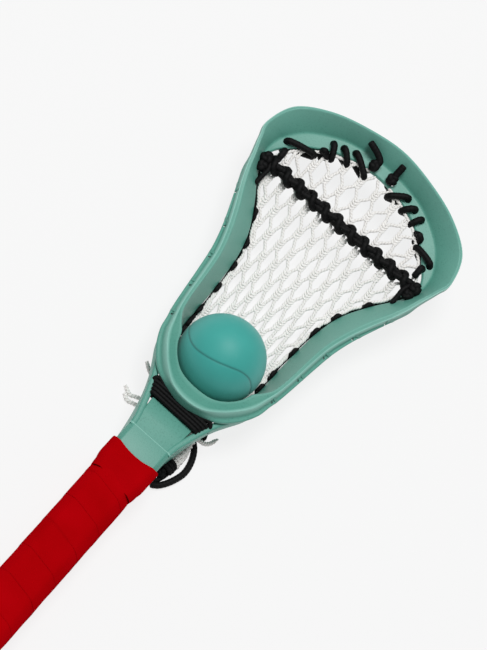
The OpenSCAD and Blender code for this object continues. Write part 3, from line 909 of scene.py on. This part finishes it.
def add_surplus():
    """The net's spare end, drawn together and hanging out under the throat."""
    shape = Shape()
    middle = even(smooth([(19, 62, 4.6), (21, 52, 4.8), (22.8, 42, 4.8), (23.2, 31, 4.4)], 6), 0.6)
    strands = 7
    for s in range(strands):
        rng = random.Random(50 + s)
        line = []
        for i, p in enumerate(middle):
            turn = TURN * s / strands + i * 0.035
            spread = 3.0 + 0.5 * math.sin(i * 0.22 + s * 1.9)
            side, up = math.cos(turn) * spread, math.sin(turn) * spread * 0.95
            line.append(p + Vector((side, rng.uniform(-0.05, 0.05), up)))
        for p in line:
            p.z = max(p.z, 1.7)
        sweep(shape, line, two_ply(3.0, 3.6, 0.6), 9)
    for k in range(9):
        p = middle[3 + k * 5]
        loop = [p + Vector((math.cos(a) * 4.2, 1.2 * math.sin(2 * a + k), math.sin(a) * 3.6)) for a in
                (TURN * j / 12 for j in range(13))]
        for q in loop:
            q.z = max(q.z, 1.1)
        sweep(shape, even(smooth(loop, 2), 0.7), plain(1.9), 6)
    shape.build("net_surplus", WHITE_CORD, "mesh_cord", "mesh_surplus", sharp=70)


add_surplus()


# ---- lacing ----
LACE_D = 5.1


def flange_z(x):
    return 39.5 - 0.00097 * x * x


def net_z(x, y):
    return net_point(x, y).z + 1.2


# Each stitch of the top lacing: where it comes up through the flange and where it goes down in the net.
STITCH_LEFT = [((-66.6, 269.4), (-46.6, 275.4)), ((-43.5, 281.5), (-39, 281.2)), ((-41, 291.6), (-35.6, 283)),
               ((-33.4, 294.2), (-25, 287.4)), ((-24.8, 297.4), (-10, 288.8))]
STITCH_RIGHT = [((66.6, 270.6), (51.6, 274.4)), ((49.6, 280), (45, 282.4)), ((41.2, 292.6), (37.6, 286)),
                ((33, 295.2), (26.6, 288.8)), ((24.2, 298), (12.6, 290))]
END_LEFT = [(-9.4, 297.6, 43.2), (-8, 301, 46), (-12.6, 303.6, 48.2), (-19, 304.8, 50.2),
            (-22.6, 305.4, 51.2)]
END_RIGHT = [(6.6, 298.4, 43.2), (6.6, 302, 46), (6.6, 305.6, 49.2), (6.7, 308.8, 51.8)]


def stitched(first, stitches, last):
    """The lacing's route: over each stitch, then back below the plastic to the next hole."""
    route = list(first)
    for (ox, oy), (ix, iy) in stitches:
        top, net = flange_z(ox), net_z(ix, iy)
        across = Vector((ix - ox, iy - oy, 0)).normalized()
        route += [(ox - across.x * 1.2, oy - across.y * 1.2, top - 6), (ox, oy, top + 1.2),
                  (ox + across.x * 2.6, oy + across.y * 2.6, top + 2.8),
                  ((ox + ix) / 2, (oy + iy) / 2, (top + net) / 2 + 2.9),
                  (ix - across.x, iy - across.y, net + 1.4),
                  (ix + across.x * 0.6, iy + across.y * 0.6, net - 1.6),
                  (ix - across.x * 2, iy - across.y * 2, net - 3.4),
                  (ox + across.x * 2, oy + across.y * 2, top - 7)]
    return [Vector(p) for p in route + list(last)]


def overhand(shape, at, size, diameter, turn):
    """A tied knot: a string that winds twice round itself."""
    tilt = 0.35
    line = []
    for k in range(41):
        a = 2 * TURN * k / 40
        r = size * (0.62 + 0.3 * math.cos(1.5 * a))
        p = Vector((r * math.cos(a + turn), r * math.sin(a + turn), size * 0.34 * math.sin(1.5 * a)))
        p.z += tilt * p.y
        line.append(Vector(at) + p)
    sweep(shape, even(smooth(line, 2), 0.6), braided(diameter), 14)


def lace(shape, route, diameter, sides=18):
    sweep(shape, even(smooth(route, 6), 0.55), braided(diameter), sides)


def add_top_string():
    shape = Shape()
    left = stitched([(-63, 252.6, 33.4), (-63.2, 257, 36.6), (-63.4, 261.4, 36.8), (-65, 264.4, 30)],
                    STITCH_LEFT, [(-11, 297, 34), (-9.4, 297.6, 41)])
    right = stitched([(63.4, 255.6, 33.8), (63.3, 259.6, 36.8), (63.4, 263.8, 37), (66, 267, 30)],
                     STITCH_RIGHT, [(8, 297.6, 34), (6.6, 298.4, 41)])
    lace(shape, left, LACE_D)
    lace(shape, right, LACE_D)
    for end in (END_LEFT, END_RIGHT):
        lace(shape, end, LACE_D * 1.05)
        overhand(shape, Vector(end[0]) + UP * 0.6, 2.9, 4.3, turn=end[0][0])
    shape.build("top_lacing", BLACK_STRING, "black_string", "top_string")


# Places along each sidewall where the string shows inside the pocket.
SHOWS_LEFT = [(216, 4), (196, 4), (177, 4), (156, 4.5), (134, 4.5), (121, 4), (113, 4), (104, 4)]
SHOWS_RIGHT = [(220, 4), (199, 4), (180, 4), (157, 4.5), (134, 4.5), (119, 4.5)]
SIDE_D = 3.4


def sidewall_route(side, shows):
    route = []
    for i in range(5 * HEAD_STEPS, 14 * HEAD_STEPS, 3):
        foot, out = FOOT[i], outward(i)
        up = max(math.exp(-((foot.y - y) / w) ** 2) for y, w in shows)
        route.append(foot - out * (2.0 - 0.8 * up) + UP * (-6.0 + 7.6 * up))
    return sided(route, side)


def add_sidewall_string(name, side, shows):
    shape = Shape()
    lace(shape, sidewall_route(side, shows), SIDE_D)
    for y, width in shows:
        i = nearest_station(FOOT, y)
        foot, out = FOOT[i], outward(i)
        base = foot - out * 1.3 + UP * 1.2
        plan = [(1.8, -2.6, -3.4), (0.6, -2.4, 0.3), (-0.2, 0, 1.6), (0.6, 2.4, 0.3), (1.8, 2.6, -3.4)]
        ahead = (FOOT[i + 1] - FOOT[i - 1]).normalized()
        turn = [base + out * a + ahead * b + UP * c for a, b, c in plan]
        lace(shape, sided(turn, side), SIDE_D, sides=14)
    shape.build("sidewall_lacing_" + name, BLACK_STRING, "black_string", "sidewall_string_" + name)


SHOOT_Y = 249
SHOOT_HALF = 70
SHOOT_PITCH = 12.2
SHOOT_REACH = 66
CORE_D = 5.4
WRAP_D = 5.0


def shoot_z(x):
    return 31.8 + 2 * (abs(x) / SHOOT_HALF) ** 2


def add_shooting_string():
    """Two strands laid side by side across the net, with a third wound round them."""
    shape = Shape()
    for strand in (-1, 1):
        line = []
        for k in range(71):
            x = -SHOOT_HALF + 2 * k
            turn = TURN * x / 34 + strand * math.pi / 2
            line.append(Vector((x, SHOOT_Y + 1.5 * math.sin(turn), shoot_z(x) + 1.2 * math.cos(turn))))
        lace(shape, line, CORE_D)
    wrap = []
    steps = 8
    turns = 2 * SHOOT_REACH / SHOOT_PITCH
    for k in range(int(turns * steps) + 1):
        a = TURN * k / steps
        x = -SHOOT_REACH + SHOOT_PITCH * k / steps
        squeeze = 0.35 * SHOOT_PITCH / TURN * math.sin(2 * a)
        wrap.append(Vector((x + squeeze, SHOOT_Y + 4.3 * math.cos(a), shoot_z(x) + 3.3 * math.sin(a))))
    lace(shape, wrap, WRAP_D)
    shape.build("shooting_lace", BLACK_STRING, "black_string", "shooting_string")


def add_shooting_knots():
    shape = Shape()
    for side in (-1, 1):
        overhand(shape, (side * 69.6, SHOOT_Y - 1, 35.4), 3.1, 5.2, turn=side)
        overhand(shape, (side * 68.4, SHOOT_Y - 7.6, 34), 2.6, 4.6, turn=side + 1)
        tail = [(66, 249, 35), (63.5, 243, 34.6), (63.6, 237, 32), (63.8, 230, 29)]
        lace(shape, sided(tail, side), 3.8)
    shape.build("shooting_ties", BLACK_STRING, "black_string", "shooting_knots")


COIL_TURNS = 4
COIL_PITCH = 2.75


def add_bottom_string():
    """Four strands across the throat, from arm to arm, tied at their ends."""
    shape = Shape()
    route = []
    for k in range(COIL_TURNS * 8 + 1):
        a = TURN * k / 8
        y = 45.8 + COIL_PITCH * k / 8
        half = 18.6 + 0.36 * (y - 46)
        c, s = math.cos(a), math.sin(a)
        x = half * max(-1, min(1, c / 0.7))
        route.append(Vector((x, y, 33.4 + 3.1 * max(-1, min(1, s / 0.7)))))
    lace(shape, route, 3.3)
    corner = [(15, 55, 35.6), (18.6, 57.4, 36.2), (22.4, 58.6, 36), (25.2, 56.8, 34), (25, 53.2, 32),
              (21, 49, 31)]
    for side in (-1, 1):
        lace(shape, sided(corner, side), 3.9)
    shape.build("bottom_lacing", BLACK_STRING, "black_string", "bottom_string")


def add_surplus_tie():
    """The end of the bottom string, wound round the spare net and knotted."""
    shape = Shape()
    wrap = []
    for k in range(25):
        a = TURN * k / 10
        wrap.append(Vector((20.9 + 4.9 * math.cos(a), 24.8 + 0.28 * k, max(4.4 + 4.4 * math.sin(a), 2))))
    lace(shape, wrap, 3.8)
    overhand(shape, (21.2, 21.4, 4.4), 2.5, 4.0, turn=0.7)
    lace(shape, [(24.6, 31.6, 3.4), (24.4, 24, 3), (22.8, 17.6, 2.6), (20.6, 13.4, 2.4)], 3.6)
    shape.build("surplus_tie", BLACK_STRING, "black_string")


add_top_string()
add_sidewall_string("left", -1, SHOWS_LEFT)
add_sidewall_string("right", 1, SHOWS_RIGHT)
add_shooting_string()
add_shooting_knots()
add_bottom_string()
add_surplus_tie()

# ---- tape, cap, shaft and screw ----
TAPE_W = 24.6
TAPE_LOW = BUTT + 42
WOUND_W, WOUND_H = 34.8, 30.8


def tape_ring(width, height, corner, count=48):
    """Evenly spaced points round an eight-sided section, from the middle of its underside."""
    ring = eight_sided(width, height, corner, 2)
    start = min(range(len(ring)), key=lambda i: abs(ring[i].x) + ring[i].z)
    loop = [Vector((0, 0, ring[start].z))]
    order = [ring[(start + 1 + k) % len(ring)] for k in range(len(ring))]
    if order[0].x < 0:
        order = [Vector((-p.x, p.y, p.z)) for p in order]
    loop += [p for p in order if abs(p.x) > 0.01] + [loop[0]]
    return even(loop, line_length(loop) / count)[:count]


def add_tape():
    """Cotton tape wound up the shaft, each turn lapping the one below."""
    count, steps = 48, 14
    core = tape_ring(WOUND_W, WOUND_H, 6.4, count)
    turns = int(-TAPE_LOW / TAPE_W) + 2
    shape = Shape()
    cloth = []
    rows = turns * steps
    for i in range(rows + 1):
        n, f = divmod(i, steps)
        f = f / (steps - 1)
        for j in range(count):
            lap = j / count
            y = min(-0.4, max(TAPE_LOW, TAPE_LOW + TAPE_W * (n + f + lap - 1)))
            wander = noise.noise(Vector((n * 3.1, lap * 3, 0.4)))
            dent = math.exp(-((y + 20) / 5) ** 2) * max(core[j].x / 17, 0) ** 2
            bump = noise.noise(Vector((core[j].x * 0.11, y * 0.06, core[j].z * 0.11)))
            thick = 0.8 + 0.22 * (1 - f) + 0.3 * bump - 0.7 * dent
            away = Vector((core[j].x, 0, core[j].z - AXIS_Z)).normalized()
            shape.points.append(Vector((core[j].x, y + 0.6 * wander, core[j].z)) + away * thick)
            # Painted shade along the edge of each lap.
            shape.painted_lights.append(0.93 if f < 0.02 else 1.0)
            cloth.append((lap * 108, y - lap * TAPE_W, 0))
    for i in range(rows):
        for j in range(count):
            a, d = i * count + j, (i + 1) * count + j
            if j + 1 < count:
                shape.faces.append((a, d, d + 1, a + 1))
            elif i + 1 + steps <= rows:
                shape.faces.append((a, d, (i + 1 + steps) * count, (i + steps) * count))
    last_turn(shape, cloth)
    tape = shape.build("grip_winding", TAPE_CLOTH, "grip_cloth", "grip_tape", sharp=50)
    store = tape.data.attributes.new("cloth", "FLOAT_VECTOR", "POINT")
    store.data.foreach_set("vector", [value for point in cloth for value in point])


def last_turn(shape, cloth):
    """The last turn, straight round the socket, with its corners drawn up."""
    count = 96
    outer, inner = tape_ring(40.4, 36.4, 5, count), tape_ring(36.2, 32.2, 3, count)
    base = len(shape.points)
    # Each row: how far along, how far out from the surface, and its painted shade value, where lower is
    # darker. Far in is the bore, darkened with painted shade.
    rows = [(-24, -2.6, 1), (-20, -1.9, 1), (-17, -1.2, 1), (-14, -0.45, 1), (-12, -0.1, 1),
            (-10, 0, 1), (-7, -0.05, 1), (-4, 0, 1), (-2, 0.05, 1), (-0.8, 0, 1), (-0.2, -0.2, 1),
            (0, -0.7, 1), (-0.2, -9, 0.3), (-3, -9, 0)]
    for k, (y, out, painted_light) in enumerate(rows):
        for j in range(count):
            q, r = outer[j], inner[j]
            side = (abs(q.x) / 20.2) ** 2
            lift = clamp((y + 11) / 10)
            hug = clamp((27 - q.z) / 12) * clamp((-y - 1) / 12) * clamp(side * 4 - 2.6)
            rise = 4.2 * side * lift + (0.9 * math.sin(j * 0.13) - 1.2 * q.x / 20) * (1 - lift)
            away = Vector((q.x, 0, q.z - AXIS_Z)).normalized()
            ripple = 0.28 * noise.noise(Vector((q.x * 0.12, y * 0.13, q.z * 0.12 + 7)))
            p = Vector((r.x, 0, r.z)) if out < -5 else q + away * (out + ripple - 1.5 * hug)
            shape.points.append(Vector((p.x, y + rise, p.z)))
            shape.painted_lights.append(painted_light)
            cloth.append((j / count * 130, y, 0))
    for k in range(len(rows) - 1):
        for j in range(count):
            a, e = base + k * count + j, base + k * count + (j + 1) % count
            shape.faces.append((a, a + count, e + count, e))


add_tape()


def add_cap():
    """Rubber cap with finger rings, a soft rim and a dished end."""
    shape = Shape()
    rings = []
    profile = [(8, 0.9), (13, 0.9), (14.6, 0.1), (16, 0), (18, 0.7), (19.2, 2), (19.8, 3.8)]
    for k in range(5):
        y = 6 + 5.6 * k
        profile += [(19.8, y), (19.1, y + 0.7), (19.1, y + 1.5), (19.8, y + 2.2), (19.95, y + 3.6)]
    profile += [(19.9, 35), (19.6, 39), (19.2, 41), (18.4, 41.9), (16, 42)]
    for r, y in profile:
        rings.append([Vector((r * math.cos(TURN * s / 72), BUTT + y, AXIS_Z + r * math.sin(TURN * s / 72)))
                      for s in range(72)])
    loft(shape, rings)
    shape.build("butt_cap_rubber", CAP_RUBBER, "cap_rubber", "butt_cap", sharp=35)


add_cap()


def dress(node, material):
    """Gives a CAD piece whose shape is right its own finish."""
    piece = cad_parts[node]
    piece.data.materials.clear()
    piece.data.materials.append(material)


dress("shaft", SHAFT_METAL)
dress("head_screw", SCREW_STEEL)

# ---- the ball ----
# The seam's front half, as seen from above the throat: right and up from the ball's middle.
SEAM = [(-0.985, 0.1), (-0.8, -0.12), (-0.585, -0.185), (-0.31, -0.165), (-0.03, -0.1), (0.265, 0.0),
        (0.52, 0.085), (0.74, 0.085), (0.895, -0.02), (0.965, -0.16)]
SEAM_UP = Vector((0, 0.866, 0.5))


def seam_points():
    front = []
    for a, b in SEAM:
        front.append(Vector((a, 0, 0)) + SEAM_UP * b + CAMERA_BACK * math.sqrt(max(0, 1 - a * a - b * b)))
    whole = front + [-p for p in front] + [front[0]]
    return np.array([tuple(p.normalized()) for p in even(smooth(whole, 8), 0.012)])


def add_ball():
    """Rubber ball with a sunk seam, darkened along the seam with painted shade."""
    around, down = 320, 160
    points = []
    for i in range(1, down):
        b = math.pi * i / down
        for j in range(around):
            a = TURN * j / around
            points.append((math.sin(b) * math.cos(a), math.sin(b) * math.sin(a), math.cos(b)))
    points += [(0, 0, 1), (0, 0, -1)]
    unit = np.array(points)
    seam = seam_points()
    away = np.full(len(unit), 9.0)
    for start in range(0, len(unit), 4000):
        part = unit[start:start + 4000]
        away[start:start + 4000] = np.arccos(np.clip(part @ seam.T, -1, 1)).min(axis=1)
    sunk = np.exp(-(away * BALL_R / 0.62) ** 2)
    solid = unit * (BALL_R - 0.42 * sunk)[:, None]
    faces = []
    for i in range(down - 2):
        for j in range(around):
            e = (j + 1) % around
            faces.append((i * around + j, (i + 1) * around + j, (i + 1) * around + e, i * around + e))
    top, low = len(points) - 2, len(points) - 1
    for j in range(around):
        e = (j + 1) % around
        faces.append((top, j, e))
        faces.append((low, (down - 2) * around + e, (down - 2) * around + j))
    shape = Shape()
    shape.add([BALL_MIDDLE + Vector(p) for p in solid], faces, list(1 - sunk))
    shape.build("rubber_ball", BALL_RUBBER, "ball_rubber", "ball", body="ball", sharp=80)


add_ball()


# ---- floor and light ----
def add_floor():
    size = 9
    mesh = bpy.data.meshes.new("floor")
    corners = [(-size, -size, 0), (size, -size, 0), (size, size, 0), (-size, size, 0)]
    mesh.from_pydata(corners, [], [(0, 1, 2, 3)])
    material, _, shader = new_material("pale floor", 0.9, 0.0)
    shader.inputs["Base Color"].default_value = (0.12, 0.12, 0.12, 1)
    shader.inputs["Emission Color"].default_value = (1, 1, 1, 1)
    shader.inputs["Emission Strength"].default_value = 0.815
    mesh.materials.append(material)
    floor = add_object("floor", mesh)


def add_light(name, where, aim, size, power):
    lamp = bpy.data.lights.new(name, "AREA")
    lamp.shape = "DISK"
    lamp.size = size
    lamp.energy = power
    holder = add_object(name, lamp)
    holder.location = where
    holder.rotation_euler = (Vector(aim) - Vector(where)).to_track_quat("-Z", "Y").to_euler()


def set_world(strength):
    world = bpy.data.worlds.new("studio")
    world.use_nodes = True
    backdrop = world.node_tree.nodes["Background"]
    backdrop.inputs["Color"].default_value = (1, 1, 1, 1)
    backdrop.inputs["Strength"].default_value = strength
    bpy.context.scene.world = world


add_floor()
add_light("key", (-0.2, 0.6, 2.2), (0, 0.36, 0), 1.0, 36)
set_world(0.3)
bpy.context.scene.view_settings.view_transform = "Standard"

bpy.context.view_layer.update()
